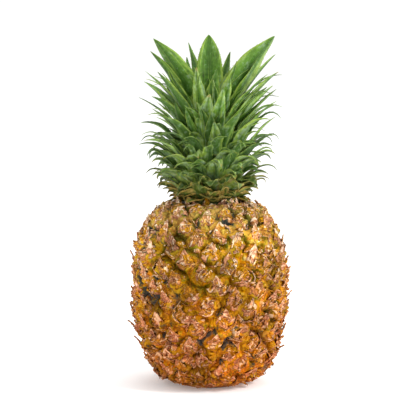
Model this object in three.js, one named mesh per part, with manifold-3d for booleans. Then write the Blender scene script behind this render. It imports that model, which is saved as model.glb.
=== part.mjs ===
// A pineapple standing on its base: the fruit with its eyes, the cut stalk under it and the crown on top.
// Millimetres, +Z up. The origin is the centre of the cut stalk's end, on the surface under the fruit.
import * as THREE from "three";
import { mergeVertices } from "three/addons/utils/BufferGeometryUtils.js";
import Module from "manifold-3d";

// Fruit
const FRUIT_RADIUS = 54.5; // at the valleys between the eyes, half way up
const FRUIT_MIDDLE = 71; // height of the widest place
const LOWER_REACH = 75; // from the widest place down to where the outline would close
const UPPER_REACH = 73.5; // and up
const LOWER_POWER = 2.0; // how square the outline is below the widest place
const UPPER_POWER = 2.7; // and above it
const SIDE_POWER = 2.7;
const NECK_RADIUS = 27; // of the flat top that the crown stands on

// Eyes, set on the golden spiral
const GOLDEN_ANGLE = Math.PI * (3 - Math.sqrt(5));
const MARGIN = 0.5; // how far the spiral goes on past both ends of the chart
const NEAR_EYES = 90; // how many eyes before and after one on the spiral can be next to it
const EYE_AREA = 248; // square millimetres, half way up
const EYE_AREA_POWER = 1.05; // how fast eyes get smaller where the fruit is narrower
const BOSS_HEIGHT = 3.3;
const BOSS_EDGE = 0.85; // how wide the boss is, as a share of the eye's width
const BRACT_BASE = 0.46; // the same for the bract on it
const BRACT_DROP = 0.06; // how far the bract's base sits below the middle, as a share of the eye's height
const BRACT_RISE = 1.0; // of the bract's base over the boss
const BRACT_TIP_RISE = 3.4; // of its tip over the boss
const BRACT_LEAN = 0.42; // how far up its eye the tip reaches, as a share of the eye's height
const EYE_HEIGHT_CHANGE = 0.15; // from eye to eye, up or down, as a share
const BRACT_CHANGE = 0.3; // the same for how far the tip rises
const BRACT_SWAY = 0.12; // how far the tip leans to a side, as a share of the eye's height
const WHOLE_EYE = 0.25; // an eye that is less tall than this on the chart is cut by an end, and gets lower
const FOOT_FADE = 11; // height over which the eyes grow from nothing at the foot
const NECK_FADE = 7; // and over which they get lower at the neck
const NECK_SHARE = 0.45; // of their height that they keep there

// Stalk
const STALK_RADIUS = 12.5;
const STALK_DEPTH = 9;
const STALK_SIDES = 28;
const GAP = 0.3; // between pieces that touch

// Crown
const CROWN_STEM_RADIUS = 21.5;
const CROWN_STEM_TOP_RADIUS = 5;
const CROWN_STEM_HEIGHT = 62;
const CROWN_STEM_SIDES = 16;
const LEAVES = 80; // set by rule, from the lowest to the innermost
const LEAF_THICKNESS = 1.7; // at its middle, where it starts
const LEAF_TIP_THICKNESS = 0.6; // towards its tip, as a share of that
const LEAF_CHANNEL = [0.4, 0.3]; // how deep a leaf's channel is at both ends, as a share of half its width
const LEAF_PULL = 0.38; // how strongly a leaf keeps its first and last direction
const ROLL_PLACE = 0.6; // the share of a leaf's length over which it rolls
const SHORT_LEAF_STEPS = 4;
const LONG_LEAF_STEPS = 5;
const STEPS_TO_TIP = 1.35; // over 1, the steps get shorter towards the tip
const LONG_LEAF = 55; // from its root to its tip in a straight line, and from this up with the long steps
const JOIN_TOLERANCE = 0.05; // slivers thinner than this are cleared where leaves are joined

const SEED = 2; // of the small differences between eyes and between leaves
const DEGREE = Math.PI / 180;

const wasm = await Module();
wasm.setup();

// A number from 0 to 1 that is always the same for the same n and k.
function chance(n, k) {
  const x = Math.sin(n * 127.1 + k * 311.7 + SEED * 74.7) * 43758.5453;
  return x - Math.floor(x);
}

function smoothstep(x) {
  const t = Math.min(1, Math.max(0, x));
  return t * t * (3 - 2 * t);
}

function lerp(a, b, t) {
  return a + (b - a) * t;
}

// A value that lies up to a spread to either side of a middle, from a number from 0 to 1.
function around(middle, spread, t) {
  return middle + spread * (2 * t - 1);
}

// The value of a curve given by [place, value] knots, eased between them.
function along(knots, t) {
  const last = knots.length - 1;
  if (t <= knots[0][0]) return knots[0][1];
  if (t >= knots[last][0]) return knots[last][1];
  const i = knots.findIndex((k) => k[0] > t);
  const [t0, v0] = knots[i - 1];
  const [t1, v1] = knots[i];
  return lerp(v0, v1, smoothstep((t - t0) / (t1 - t0)));
}

// A closed geometry as a solid for joining and cutting.
function solidOf(geometry) {
  const bare = new THREE.BufferGeometry();
  const flat = geometry.index ? geometry.toNonIndexed() : geometry;
  bare.setAttribute("position", flat.getAttribute("position"));
  const merged = mergeVertices(bare, 1e-4);
  return new wasm.Manifold(
    new wasm.Mesh({
      numProp: 3,
      vertProperties: new Float32Array(merged.attributes.position.array),
      triVerts: new Uint32Array(merged.index.array),
    }),
  );
}

// A solid as a geometry, without any hollow that joining has sealed inside it.
function geometryOf(solid) {
  const outer = solid.decompose().sort((a, b) => b.volume() - a.volume())[0];
  const mesh = outer.getMesh();
  const positions = new Float32Array(mesh.numVert * 3);
  for (let i = 0; i < mesh.numVert; i++)
    positions.set(mesh.vertProperties.subarray(i * mesh.numProp, i * mesh.numProp + 3), i * 3);
  const geometry = new THREE.BufferGeometry();
  geometry.setAttribute("position", new THREE.BufferAttribute(positions, 3));
  geometry.setIndex(new THREE.BufferAttribute(mesh.triVerts, 1));
  geometry.computeVertexNormals();
  return geometry;
}

// A geometry from a list of triangles, each three points.
function fromTriangles(triangles) {
  return new THREE.BufferGeometry().setFromPoints(triangles.flat());
}

// The fruit's outline: its radius at a height.
function fruitRadius(z) {
  const [reach, power] = z < FRUIT_MIDDLE ? [LOWER_REACH, LOWER_POWER] : [UPPER_REACH, UPPER_POWER];
  const share = Math.abs(z - FRUIT_MIDDLE) / reach;
  return FRUIT_RADIUS * Math.pow(1 - Math.pow(share, power), 1 / SIDE_POWER);
}

// The height of the neck, where the outline has come in to the neck's radius.
function neckHeight() {
  const share = Math.pow(1 - Math.pow(NECK_RADIUS / FRUIT_RADIUS, SIDE_POWER), 1 / UPPER_POWER);
  return FRUIT_MIDDLE + UPPER_REACH * share;
}

// The outline from foot to neck as steps that know their climb: the way along the outline divided by the
// radius. A chart of turn against climb keeps angles, so that cells drawn there stay true on the fruit.
function outlineSteps() {
  const top = neckHeight();
  const count = 1200;
  const steps = [];
  let climb = 0;
  for (let i = 0; i <= count; i++) {
    const z = (top * (1 - Math.cos((Math.PI * i) / count))) / 2;
    const r = fruitRadius(z);
    if (i > 0) {
      const before = steps[i - 1];
      climb += Math.hypot(r - before.r, z - before.z) / ((r + before.r) / 2);
    }
    steps.push({ z, r, climb });
  }
  return steps;
}

const OUTLINE = outlineSteps();
const FULL_CLIMB = OUTLINE[OUTLINE.length - 1].climb;

function outlineAt(climb) {
  let low = 0;
  let high = OUTLINE.length - 1;
  while (high - low > 1) {
    const middle = (low + high) >> 1;
    if (OUTLINE[middle].climb > climb) high = middle;
    else low = middle;
  }
  const a = OUTLINE[low];
  const b = OUTLINE[high];
  const t = (climb - a.climb) / (b.climb - a.climb);
  const run = Math.hypot(b.r - a.r, b.z - a.z);
  return {
    r: lerp(a.r, b.r, t),
    z: lerp(a.z, b.z, t),
    out: (b.z - a.z) / run,
    up: (a.r - b.r) / run,
  };
}

// The point at a turn and climb, raised from the skin.
function skinPoint(turn, climb, rise) {
  const p = outlineAt(Math.min(FULL_CLIMB, Math.max(0, climb)));
  const r = p.r + p.out * rise;
  return new THREE.Vector3(r * Math.cos(turn), r * Math.sin(turn), p.z + p.up * rise);
}

// How much of its height an eye has at a height on the fruit: none at the foot, and less at the neck.
function eyeShare(z) {
  const top = lerp(NECK_SHARE, 1, smoothstep((neckHeight() - z) / NECK_FADE));
  return smoothstep(z / FOOT_FADE) * top;
}

// Where the eyes sit: a golden turn each, and a climb that leaves each the area it has at that radius.
function eyeCentres() {
  const centres = [];
  let climb = -MARGIN;
  for (let n = 0; climb < FULL_CLIMB + MARGIN; n++) {
    centres.push({ turn: n * GOLDEN_ANGLE, climb });
    const r = outlineAt(Math.min(FULL_CLIMB, Math.max(0, climb))).r;
    const area = EYE_AREA * Math.pow(r / FRUIT_RADIUS, EYE_AREA_POWER);
    climb += area / (2 * Math.PI * r * r);
  }
  return centres;
}

// The part of a convex polygon where a*x + b*y <= c.
function clipped(polygon, a, b, c) {
  const kept = [];
  polygon.forEach((p, i) => {
    const q = polygon[(i + 1) % polygon.length];
    const dp = a * p[0] + b * p[1] - c;
    const dq = a * q[0] + b * q[1] - c;
    if (dp <= 0) kept.push(p);
    if (dp < 0 !== dq < 0 && dp !== 0 && dq !== 0) {
      const t = dp / (dp - dq);
      kept.push([lerp(p[0], q[0], t), lerp(p[1], q[1], t)]);
    }
  });
  return kept;
}

// Each eye's cell on the chart: what is nearer to it than to any other eye, cut at the foot and the neck.
function eyeCells() {
  const centres = eyeCentres();
  const cells = [];
  centres.forEach((eye, n) => {
    let cell = [[-1, eye.climb - 1], [1, eye.climb - 1], [1, eye.climb + 1], [-1, eye.climb + 1]];
    const last = Math.min(centres.length - 1, n + NEAR_EYES);
    for (let m = Math.max(0, n - NEAR_EYES); m <= last; m++) {
      if (m === n) continue;
      let dx = centres[m].turn - eye.turn;
      dx -= 2 * Math.PI * Math.round(dx / (2 * Math.PI));
      const dy = centres[m].climb - eye.climb;
      const middle = eye.climb + dy / 2;
      cell = clipped(cell, dx, dy, (dx * dx) / 2 + dy * middle);
    }
    cell = clipped(cell, 0, 1, FULL_CLIMB);
    if (cell.length) cell = clipped(cell, 0, -1, 0);
    if (cell.length > 2) cells.push({ n, corners: cell.map(([x, y]) => [x + eye.turn, y]) });
  });
  return cells;
}

// One eye: steep flanks out of the valleys, a flattened boss, and on it the bract, a point that leans upward.
function eyeTriangles({ n, corners }) {
  const count = corners.length;
  const middle = [0, 1].map((k) => corners.reduce((sum, c) => sum + c[k], 0) / count);
  const climbs = corners.map((c) => c[1]);
  const tall = Math.max(...climbs) - Math.min(...climbs);
  const high = around(1, EYE_HEIGHT_CHANGE, chance(n, 1)) * Math.min(1, tall / WHOLE_EYE);
  const raised = (x, y, rise) => skinPoint(x, y, rise * high * eyeShare(outlineAt(y).z));
  const ring = (scale, rise, drop) =>
    corners.map(([x, y]) => raised(lerp(middle[0], x, scale), lerp(middle[1], y, scale) - drop * tall, rise));
  const valley = ring(1, 0, 0);
  const boss = ring(BOSS_EDGE, BOSS_HEIGHT, 0);
  const base = ring(BRACT_BASE, BOSS_HEIGHT + BRACT_RISE, BRACT_DROP);
  const sway = around(0, BRACT_SWAY, chance(n, 3)) * tall;
  const tipRise = BOSS_HEIGHT + BRACT_TIP_RISE * around(1, BRACT_CHANGE, chance(n, 2));
  const tip = raised(middle[0] + sway, middle[1] + BRACT_LEAN * tall, tipRise);
  const triangles = [];
  for (let i = 0; i < count; i++) {
    const j = (i + 1) % count;
    triangles.push([valley[i], valley[j], boss[j]], [valley[i], boss[j], boss[i]]);
    triangles.push([boss[i], boss[j], base[j]], [boss[i], base[j], base[i]]);
    triangles.push([base[i], base[j], tip]);
  }
  return triangles;
}

// A flat end of the fruit, out to the corners that lie on it.
function endTriangles(cells, climb, upward) {
  const turns = [];
  for (const { corners } of cells)
    for (const [x, y] of corners)
      if (y === climb) {
        const turn = x - 2 * Math.PI * Math.floor(x / (2 * Math.PI));
        if (!turns.some((t) => Math.abs(t - turn) < 1e-7)) turns.push(turn);
      }
  turns.sort((a, b) => a - b);
  const centre = new THREE.Vector3(0, 0, outlineAt(climb).z);
  return turns.map((turn, i) => {
    const a = skinPoint(turn, climb, 0);
    const b = skinPoint(turns[(i + 1) % turns.length], climb, 0);
    return upward ? [centre, a, b] : [centre, b, a];
  });
}

function cylinder(radius, low, high, sides, topRadius = radius) {
  const geometry = new THREE.CylinderGeometry(topRadius, radius, high - low, sides);
  return geometry.rotateX(Math.PI / 2).translate(0, 0, (low + high) / 2);
}

function fruitGeometry() {
  const cells = eyeCells();
  const triangles = cells.flatMap(eyeTriangles);
  triangles.push(...endTriangles(cells, 0, false), ...endTriangles(cells, FULL_CLIMB, true));
  const body = solidOf(fromTriangles(triangles));
  const socket = solidOf(cylinder(STALK_RADIUS + GAP, -STALK_DEPTH, STALK_DEPTH + GAP, STALK_SIDES));
  return geometryOf(body.subtract(socket));
}

function stalkGeometry() {
  return cylinder(STALK_RADIUS, 0, STALK_DEPTH, STALK_SIDES);
}

// A leaf's middle line in the upright plane through the crown's axis: where it starts, how steeply it leaves
// the stem, where its tip is and how steeply it ends. Angles are in degrees above level, turns in degrees.
// turnEnd is how far it swings sideways on its way, roll how far its face turns about its own length, and
// fullness how broad it stays towards its tip.
function ruleLeaf(i) {
  const t = i / (LEAVES - 1);
  const stem = neckHeight() + GAP;
  const start = {
    r: along([[0, 19.5], [0.4, 15], [1, 4]], t),
    z: stem + along([[0, 1.6], [0.35, 14], [0.7, 35], [1, 54]], t),
  };
  const reach = along([[0, 17], [0.15, 28], [0.4, 38], [0.7, 42], [0.88, 30], [1, 8]], t);
  const climb = along([[0, 6.5], [0.15, 15], [0.4, 37], [0.7, 62], [0.88, 60], [1, 42]], t);
  const droop = along([[0, -42], [0.2, -38], [0.45, -4], [0.6, 26], [0.7, 48], [1, 80]], t);
  return {
    turn: ((i * GOLDEN_ANGLE) / DEGREE + around(0, 7, chance(i, 12))) % 360,
    turnEnd: around(0, 13, chance(i, 13)),
    r: start.r,
    z: start.z,
    tipR: start.r + reach * around(1, 0.12, chance(i, 11)),
    tipZ: start.z + climb * around(0.98, 0.1, chance(i, 14)),
    steep: along([[0, 38], [0.15, 52], [0.4, 64], [0.7, 76], [1, 87]], t),
    tipSteep: droop + around(0, 12, chance(i, 15)),
    width: along([[0, 14], [0.3, 16], [0.7, 18], [1, 15]], t) * around(0.99, 0.09, chance(i, 16)),
    roll: around(0, 24, chance(i, 17)),
    fullness: along([[0, 1.7], [0.4, 1.5], [0.75, 1.9], [1, 2.4]], t),
  };
}

// The leaves that give the crown its outline at the top and at the sides, as they stand in the photograph.
const SET_LEAVES = [
  {
    turn: 96, turnEnd: 0, r: 4, z: 196, tipR: 9, tipZ: 269,
    steep: 86, tipSteep: 82, width: 21, roll: 0, fullness: 6,
  },
  {
    turn: 128, turnEnd: 4, r: 5, z: 194, tipR: 25, tipZ: 263,
    steep: 78, tipSteep: 72, width: 13, roll: 10, fullness: 3,
  },
  {
    turn: 52, turnEnd: -3, r: 5, z: 193, tipR: 24, tipZ: 256,
    steep: 78, tipSteep: 74, width: 14, roll: 0, fullness: 3,
  },
  {
    turn: 340, turnEnd: 3, r: 5, z: 186, tipR: 51, tipZ: 268,
    steep: 76, tipSteep: 48, width: 27, roll: -42, fullness: 3.2,
  },
  {
    turn: 202, turnEnd: -4, r: 5, z: 186, tipR: 45, tipZ: 266,
    steep: 76, tipSteep: 48, width: 25, roll: 38, fullness: 3,
  },
  {
    turn: 186, turnEnd: 4, r: 6, z: 180, tipR: 46, tipZ: 256.5,
    steep: 72, tipSteep: 46, width: 18, roll: 30, fullness: 2.6,
  },
  {
    turn: 14, turnEnd: -5, r: 6, z: 183, tipR: 51, tipZ: 254,
    steep: 68, tipSteep: 46, width: 18, roll: -25, fullness: 2.5,
  },
  {
    turn: 84, turnEnd: 3, r: 6, z: 182, tipR: 42, tipZ: 257,
    steep: 72, tipSteep: 54, width: 19, roll: 0, fullness: 2.5,
  },
  {
    turn: 262, turnEnd: 5, r: 5, z: 184, tipR: 20, tipZ: 236,
    steep: 76, tipSteep: 64, width: 18, roll: 0, fullness: 2.5,
  },
  {
    turn: 350, turnEnd: -4, r: 8, z: 170, tipR: 53.5, tipZ: 241,
    steep: 66, tipSteep: 34, width: 16, roll: -20, fullness: 2,
  },
  {
    turn: 8, turnEnd: 3, r: 11, z: 158, tipR: 52.5, tipZ: 218,
    steep: 60, tipSteep: 28, width: 15, roll: -15, fullness: 1.8,
  },
  {
    turn: 346, turnEnd: 4, r: 12, z: 150, tipR: 51, tipZ: 207,
    steep: 57, tipSteep: 34, width: 16, roll: 10, fullness: 1.8,
  },
  {
    turn: 5, turnEnd: -5, r: 15, z: 145, tipR: 46, tipZ: 178,
    steep: 56, tipSteep: 6, width: 13, roll: 0, fullness: 1.8,
  },
  {
    turn: 190, turnEnd: 5, r: 9, z: 164, tipR: 49.5, tipZ: 232,
    steep: 64, tipSteep: 36, width: 13, roll: 20, fullness: 1.8,
  },
];

// How wide a leaf is along its length, as a share of its width. The fuller it is, the nearer to its tip it
// stays broad.
function leafTaper(s, fullness) {
  return (0.74 + 0.26 * smoothstep(s / 0.3)) * Math.pow(1 - Math.pow(s, fullness), 0.85);
}

// A direction in the upright plane, so many degrees above level.
function steepWay(degrees) {
  return new THREE.Vector3(Math.cos(degrees * DEGREE), 0, Math.sin(degrees * DEGREE));
}

// A leaf as a closed blade: a shallow channel that is thickest at its middle and ends in a point.
function leafGeometry(leaf) {
  const root = new THREE.Vector3(leaf.r, 0, leaf.z);
  const tip = new THREE.Vector3(leaf.tipR, 0, leaf.tipZ);
  const span = root.distanceTo(tip);
  const line = new THREE.CubicBezierCurve3(
    root,
    root.clone().addScaledVector(steepWay(leaf.steep), LEAF_PULL * span),
    tip.clone().addScaledVector(steepWay(leaf.tipSteep), -LEAF_PULL * span),
    tip,
  );
  const sideways = new THREE.Vector3(0, 1, 0);
  const upright = new THREE.Vector3(0, 0, 1);
  const sections = [];
  const steps = span < LONG_LEAF ? SHORT_LEAF_STEPS : LONG_LEAF_STEPS;
  for (let k = 0; k < steps; k++) {
    const s = 1 - Math.pow(1 - k / steps, STEPS_TO_TIP);
    const middle = line.getPoint(s);
    const way = line.getTangent(s);
    const roll = leaf.roll * DEGREE * smoothstep(s / ROLL_PLACE);
    const across = sideways.clone().applyAxisAngle(way, roll);
    const face = new THREE.Vector3().crossVectors(way, sideways).applyAxisAngle(way, roll);
    const half = (leaf.width / 2) * leafTaper(s, leaf.fullness);
    const channel = half * lerp(...LEAF_CHANNEL, s);
    const thick = LEAF_THICKNESS * lerp(1, LEAF_TIP_THICKNESS, s);
    const at = (side, rise) =>
      middle.clone().addScaledVector(across, side * half).addScaledVector(face, rise);
    const section = [at(1, channel), at(0, thick / 2), at(-1, channel), at(0, -thick / 2)];
    const swing = (leaf.turn + leaf.turnEnd * s * s) * DEGREE;
    sections.push(section.map((p) => p.applyAxisAngle(upright, swing)));
  }
  const end = tip.clone().applyAxisAngle(upright, (leaf.turn + leaf.turnEnd) * DEGREE);
  const triangles = [];
  for (let k = 0; k + 1 < sections.length; k++)
    for (let i = 0; i < 4; i++) {
      const j = (i + 1) % 4;
      const [a, b] = [sections[k], sections[k + 1]];
      if (i % 2) triangles.push([a[i], a[j], b[i]], [a[j], b[j], b[i]]);
      else triangles.push([a[i], a[j], b[j]], [a[i], b[j], b[i]]);
    }
  const last = sections[sections.length - 1];
  for (let i = 0; i < 4; i++) triangles.push([last[i], last[(i + 1) % 4], end]);
  const first = sections[0];
  triangles.push([first[0], first[3], first[1]], [first[1], first[3], first[2]]);
  return fromTriangles(triangles);
}

function crownGeometry() {
  const low = neckHeight() + GAP;
  const high = low + CROWN_STEM_HEIGHT;
  const stem = cylinder(CROWN_STEM_RADIUS, low, high, CROWN_STEM_SIDES, CROWN_STEM_TOP_RADIUS);
  let crown = solidOf(stem);
  for (const leaf of SET_LEAVES) crown = crown.add(solidOf(leafGeometry(leaf)));
  for (let i = 0; i < LEAVES; i++) crown = crown.add(solidOf(leafGeometry(ruleLeaf(i))));
  return geometryOf(crown.simplify(JOIN_TOLERANCE));
}

function piece(name, geometry, colour, roughness) {
  const material = new THREE.MeshStandardMaterial({ color: colour, roughness, metalness: 0 });
  const mesh = new THREE.Mesh(geometry, material);
  mesh.name = name;
  return mesh;
}

const pineapple = new THREE.Group();
pineapple.add(piece("fruit", fruitGeometry(), 0xc4862f, 0.6));
pineapple.add(piece("stalk", stalkGeometry(), 0xc9b27c, 0.85));
pineapple.add(piece("crown", crownGeometry(), 0x4f7a35, 0.5));

export default pineapple;
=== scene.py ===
import math

import bpy
import numpy as np
from bpy.props import FloatProperty, FloatVectorProperty, IntProperty, PointerProperty
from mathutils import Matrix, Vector, noise


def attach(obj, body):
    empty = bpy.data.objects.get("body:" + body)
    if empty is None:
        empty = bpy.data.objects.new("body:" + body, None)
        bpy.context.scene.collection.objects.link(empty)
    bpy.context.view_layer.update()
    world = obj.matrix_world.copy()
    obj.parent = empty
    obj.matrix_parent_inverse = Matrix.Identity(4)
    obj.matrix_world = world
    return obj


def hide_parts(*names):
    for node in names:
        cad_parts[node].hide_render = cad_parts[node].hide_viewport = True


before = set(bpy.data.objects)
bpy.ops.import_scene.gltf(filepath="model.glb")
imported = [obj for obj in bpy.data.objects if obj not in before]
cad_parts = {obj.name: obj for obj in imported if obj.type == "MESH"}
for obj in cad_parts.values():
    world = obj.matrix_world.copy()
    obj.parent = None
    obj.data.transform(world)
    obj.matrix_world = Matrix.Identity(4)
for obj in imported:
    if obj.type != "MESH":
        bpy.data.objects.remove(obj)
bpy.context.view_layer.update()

bl_info = {
    "name": "Pineapple",
    "version": (1, 0, 0),
    "blender": (4, 5, 0),
    "location": "3D View > Sidebar > Pineapple",
    "description": "A pineapple's rind, bracts, dry flowers, crown leaves and cut stalk over its solids",
    "category": "Object",
}

MM = 0.001  # shapes are worked out in millimetres and written in metres
BODY = "root"

# The fruit's outline and the lattice of its eyes, as the part's source has them
FRUIT_RADIUS = 54.5
FRUIT_MIDDLE = 71
LOWER_REACH = 75
UPPER_REACH = 73.5
LOWER_POWER = 2.0
UPPER_POWER = 2.7
SIDE_POWER = 2.7
NECK_RADIUS = 27
GOLDEN_ANGLE = math.pi * (3 - math.sqrt(5))
MARGIN = 0.5
NEAR_EYES = 90
EYE_AREA = 248
EYE_AREA_POWER = 1.05
BOSS_HEIGHT = 3.3
BRACT_TIP_RISE = 3.4
BRACT_LEAN = 0.42
EYE_HEIGHT_CHANGE = 0.15
BRACT_CHANGE = 0.3
BRACT_SWAY = 0.12
WHOLE_EYE = 0.25
FOOT_FADE = 11
NECK_FADE = 7
NECK_SHARE = 0.45
SEED = 2
CHART_STEPS = 1200

# The scene's own: how far below the neck the bracts and petals get their full height
SHOULDER = 45

# The stalk and the crown's stem and leaves, as the part's source has them
STALK_RADIUS = 12.5
STALK_DEPTH = 9
GAP = 0.3
CROWN_STEM_RADIUS = 21.5
CROWN_STEM_TOP_RADIUS = 5
CROWN_STEM_HEIGHT = 62
LEAVES = 80
LEAF_THICKNESS = 1.7
LEAF_TIP_THICKNESS = 0.6
LEAF_CHANNEL = (0.4, 0.3)
LEAF_PULL = 0.38
ROLL_PLACE = 0.6
LEAF_NAMES = ("turn", "turn_end", "r", "z", "tip_r", "tip_z", "steep", "tip_steep", "width", "roll", "full")
SET_LEAVES = (
    (96, 0, 4, 196, 9, 269, 86, 82, 21, 0, 6),
    (128, 4, 5, 194, 25, 263, 78, 72, 13, 10, 3),
    (52, -3, 5, 193, 24, 256, 78, 74, 14, 0, 3),
    (340, 3, 5, 186, 51, 268, 76, 48, 27, -42, 3.2),
    (202, -4, 5, 186, 45, 266, 76, 48, 25, 38, 3),
    (186, 4, 6, 180, 46, 256.5, 72, 46, 18, 30, 2.6),
    (14, -5, 6, 183, 51, 254, 68, 46, 18, -25, 2.5),
    (84, 3, 6, 182, 42, 257, 72, 54, 19, 0, 2.5),
    (262, 5, 5, 184, 20, 236, 76, 64, 18, 0, 2.5),
    (350, -4, 8, 170, 53.5, 241, 66, 34, 16, -20, 2),
    (8, 3, 11, 158, 52.5, 218, 60, 28, 15, -15, 1.8),
    (346, 4, 12, 150, 51, 207, 57, 34, 16, 10, 1.8),
    (5, -5, 15, 145, 46, 178, 56, 6, 13, 0, 1.8),
    (190, 5, 9, 164, 49.5, 232, 64, 36, 13, 20, 1.8),
)


def chance(n, k):
    """A number from 0 to 1 that is always the same for the same n and k."""
    x = math.sin(n * 127.1 + k * 311.7 + SEED * 74.7) * 43758.5453
    return x - math.floor(x)


def around(middle, spread, t):
    """A value up to a spread to either side of a middle, from a number from 0 to 1."""
    return middle + spread * (2 * t - 1)


def smoothstep(x):
    t = np.clip(x, 0, 1)
    return t * t * (3 - 2 * t)


def lerp(a, b, t):
    return a + (b - a) * t


def along(knots, t):
    """The value of a curve given by (place, value) knots, eased between them."""
    if t <= knots[0][0]:
        return knots[0][1]
    for (t0, v0), (t1, v1) in zip(knots, knots[1:]):
        if t < t1:
            return float(lerp(v0, v1, smoothstep((t - t0) / (t1 - t0))))
    return knots[-1][1]


def roughness_at(points, size, offset):
    """Smooth noise from about -1 to 1 at points in millimetres, with bumps of a size in millimetres."""
    shift = Vector((offset, offset * 1.7, offset * 0.6))
    flat = points.reshape(-1, 3) / size
    values = [noise.noise(Vector(p) + shift) for p in flat.tolist()]
    return np.array(values).reshape(points.shape[:-1])


def folds_at(points, size, offset):
    """Noise with sharp crests, like crumpled skin, from about 0 to 1."""
    return 1 - 2 * np.abs(roughness_at(points, size, offset))


def colour(code):
    """A linear colour from a screen colour's six hexadecimal digits."""
    parts = [int(code[i : i + 2], 16) / 255 for i in (0, 2, 4)]
    return tuple(p / 12.92 if p <= 0.04045 else ((p + 0.055) / 1.055) ** 2.4 for p in parts) + (1.0,)


# Settings


def length(name, description, default):
    """A setting in metres."""
    return FloatProperty(
        name=name, description=description, default=default, min=0, unit="LENGTH", precision=5
    )


def steps(name, description, default, least, most):
    """A setting that counts a grid's points."""
    return IntProperty(name=name, description=description, default=default, min=least, max=most)


def tint(name, description, code):
    """A colour setting."""
    return FloatVectorProperty(
        name=name, description=description, default=colour(code), size=4, min=0, max=1, subtype="COLOR"
    )


class PINEAPPLE_PG_rind(bpy.types.PropertyGroup):
    """Sizes and colours of the skin on the eyes and between them."""

    dome: length("Dome", "How far an eye's middle stands over its edge", 0.0009)
    pit: length("Pit", "How deep the hollow under the dry flower is", 0.0012)
    crumple: length("Crumple", "Height of the large folds of the skin", 0.0021)
    joined: length("Joined", "How far a valley is filled where two eyes run into one another", 0.0022)
    wrinkle: length("Wrinkle", "Height of the small folds of the skin", 0.0007)
    gold: tint("Gold", "Ripe skin", "d29200")
    orange: tint("Orange", "Ripest skin", "d48208")
    yellow: tint("Yellow", "Skin on the crests", "e0ac22")
    pink: tint("Pink tan", "Crumpled skin in the eyes", "e6985e")
    # pale: paler skin near the neck, and painted highlight on the curl crests
    pale: tint("Pale", "Crests of the folds", "f2caa8")
    green: tint("Green", "Unripe skin in the valleys", "807a0a")
    unripe: tint("Dark green", "The same near the neck", "4c5e0e")
    # gap shade: painted deep shade in some gaps between eyes
    gap_shade: tint("Slate", "Dry dark gaps between some eyes", "32393c")
    # shade brown: painted shade in each crease, along the fine curls and in the valleys between eyes
    shade_brown: tint("Brown", "Creases", "6a2a00")
    low_tint: tint("Low tint", "Multiplies the colours at the foot", "ffe2ae")
    high_tint: tint("High tint", "Multiplies the colours at the neck", "e0f4ee")


class PINEAPPLE_PG_bract(bpy.types.PropertyGroup):
    """Sizes and colours of the papery bract on each eye and of the dry flower above it."""

    thickness: length("Thickness", "Of a bract or petal", 0.00028)
    reach: length("Tip reach", "How much further than the solid a bract's thin tip goes", 0.0003)
    crumple: length("Crumple", "How deep a bract or petal is crumpled", 0.0014)
    flesh: tint("Flesh", "Bracts that are still fleshy", "e2940e")
    tan: tint("Tan", "Bracts that have dried", "f0a078")
    # Dry edges' colour, and painted highlight on curled crests
    paper_and_highlight: tint("Paper", "Curled crests and edges", "ffd6bc")
    dry: tint("Dry", "Dead grey bracts and petals", "4e5250")
    mauve: tint("Mauve", "Pinkish patches", "cc7e68")
    shadow: tint("Shadow", "Creases, and where a bract starts", "642400")
    low_tint: tint("Low tint", "Multiplies the colours at the foot", "ffe8c6")
    high_tint: tint("High tint", "Multiplies the colours at the neck", "e0f4ee")


class PINEAPPLE_PG_crown(bpy.types.PropertyGroup):
    """Sizes and colours of the crown's leaves."""

    tooth: length("Tooth", "Length of the spines on a leaf's edge", 0.0011)
    rows: steps("Rows", "Points along a leaf", 26, 6, 60)
    columns: steps("Columns", "Points across a leaf", 9, 3, 21)
    fine_rows: steps("Fine rows", "Points along a fine leaf", 18, 6, 60)
    fine_columns: steps("Fine columns", "Points across a fine leaf", 7, 3, 21)
    heart: tint("Heart green", "The middle of a leaf", "2f560a")
    fresh: tint("Fresh green", "Upper leaves", "557c26")
    deep: tint("Deep green", "Lower leaves", "44602a")
    olive: tint("Olive", "The oldest leaves at the foot", "6e6a1c")
    bloom: tint("Bloom", "Waxy grey cover", "84987e")
    margin: tint("Margin", "Streaks and edges of the leaves", "a2ba4c")
    straw: tint("Straw", "Dry edges and tips", "b0924a")


class PINEAPPLE_PG_stalk(bpy.types.PropertyGroup):
    """Colours of the cut stalk."""

    pith: tint("Pith", "Cut fibres in the middle", "c6ab74")
    bark: tint("Bark", "The stalk's outer ring", "6d5a2c")


class PINEAPPLE_PG_stage(bpy.types.PropertyGroup):
    """The floor, the light and the camera."""

    distance: length("Distance", "From the camera to the fruit", 1.25)
    view_width: length("View width", "What the picture spans at the fruit", 0.324)
    elevation: FloatProperty(
        name="Elevation",
        description="How steeply the camera looks down on the fruit",
        default=math.radians(6),
        unit="ROTATION",
    )
    floor: tint("Floor", "The floor's colour", "f6f6f6")


# Shaders

# Painted light by height, with the fruit's tints: up to this height in metres the colours go from painted
# shade at the foot to lighter up the fruit, by these factors of their light
TINT_AND_SHADE_HEIGHT = 0.14
FOOT_PAINTED_LIGHT = 0.69
PAINTED_LIGHT_GAIN = 0.43


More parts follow.
